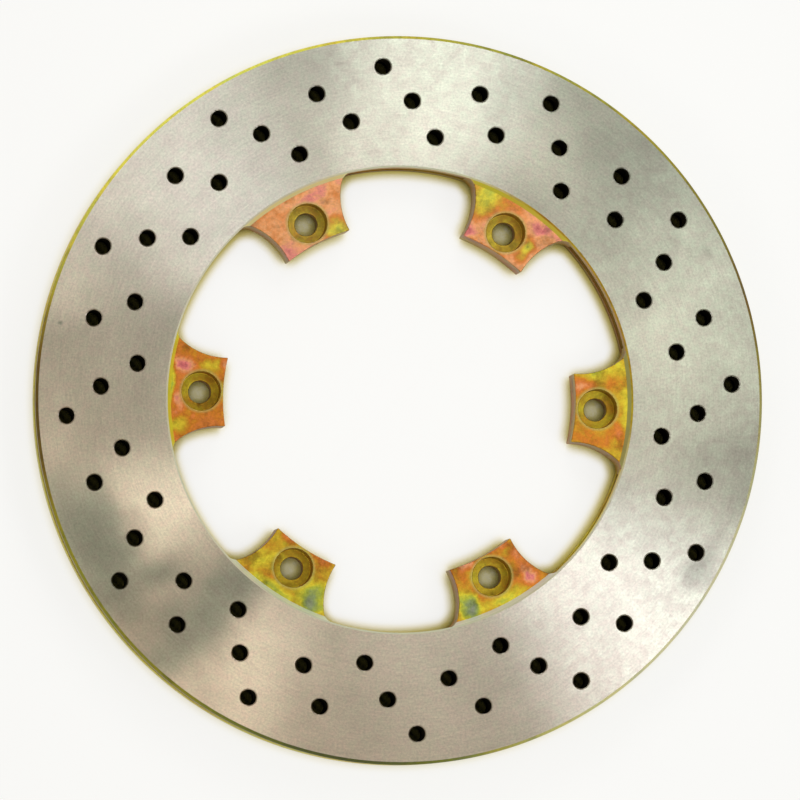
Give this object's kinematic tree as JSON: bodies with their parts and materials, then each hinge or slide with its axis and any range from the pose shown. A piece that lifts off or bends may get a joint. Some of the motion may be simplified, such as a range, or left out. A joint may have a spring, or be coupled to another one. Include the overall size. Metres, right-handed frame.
{
  "type": "ventilated brake disc rotor",
  "caption": "Ventilated, cross-drilled brake disc with swept cooling vanes and counterbored inward mounting lugs for bolting to a hub.",
  "frame": {"origin": "centre of the rotor on its axis, halfway through its thickness", "axes": "+Z along the rotor axis, out of the front friction face, which is the side with the counterbores; +X through the bolt hole of mounting_lug_1"},
  "size_m": [0.206, 0.206, 0.016],
  "materials": {
    "ground_iron": "ground friction face, bare, with plated edges and hole walls",
    "plated_iron": "machined, zinc plated and yellow passivated, iridescent",
    "passage_iron": "as cast, zinc plated and yellow passivated, dull"
  },
  "bodies": {
    "root": {"front_friction_plate": "ground_iron", "rear_friction_plate": "ground_iron", "cooling_vane_01": "passage_iron", "cooling_vane_02": "passage_iron", "cooling_vane_03": "passage_iron", "cooling_vane_04": "passage_iron", "cooling_vane_05": "passage_iron", "cooling_vane_06": "passage_iron", "cooling_vane_07": "passage_iron", "cooling_vane_08": "passage_iron", "cooling_vane_09": "passage_iron", "cooling_vane_10": "passage_iron", "cooling_vane_11": "passage_iron", "cooling_vane_12": "passage_iron", "cooling_vane_13": "passage_iron", "cooling_vane_14": "passage_iron", "cooling_vane_15": "passage_iron", "cooling_vane_16": "passage_iron", "cooling_vane_17": "passage_iron", "cooling_vane_18": "passage_iron", "cooling_vane_19": "passage_iron", "cooling_vane_20": "passage_iron", "cooling_vane_21": "passage_iron", "cooling_vane_22": "passage_iron", "cooling_vane_23": "passage_iron", "cooling_vane_24": "passage_iron", "mounting_lug_1": "plated_iron", "mounting_lug_2": "plated_iron", "mounting_lug_3": "plated_iron", "mounting_lug_4": "plated_iron", "mounting_lug_5": "plated_iron", "mounting_lug_6": "plated_iron"}
  },
  "joints": []
}
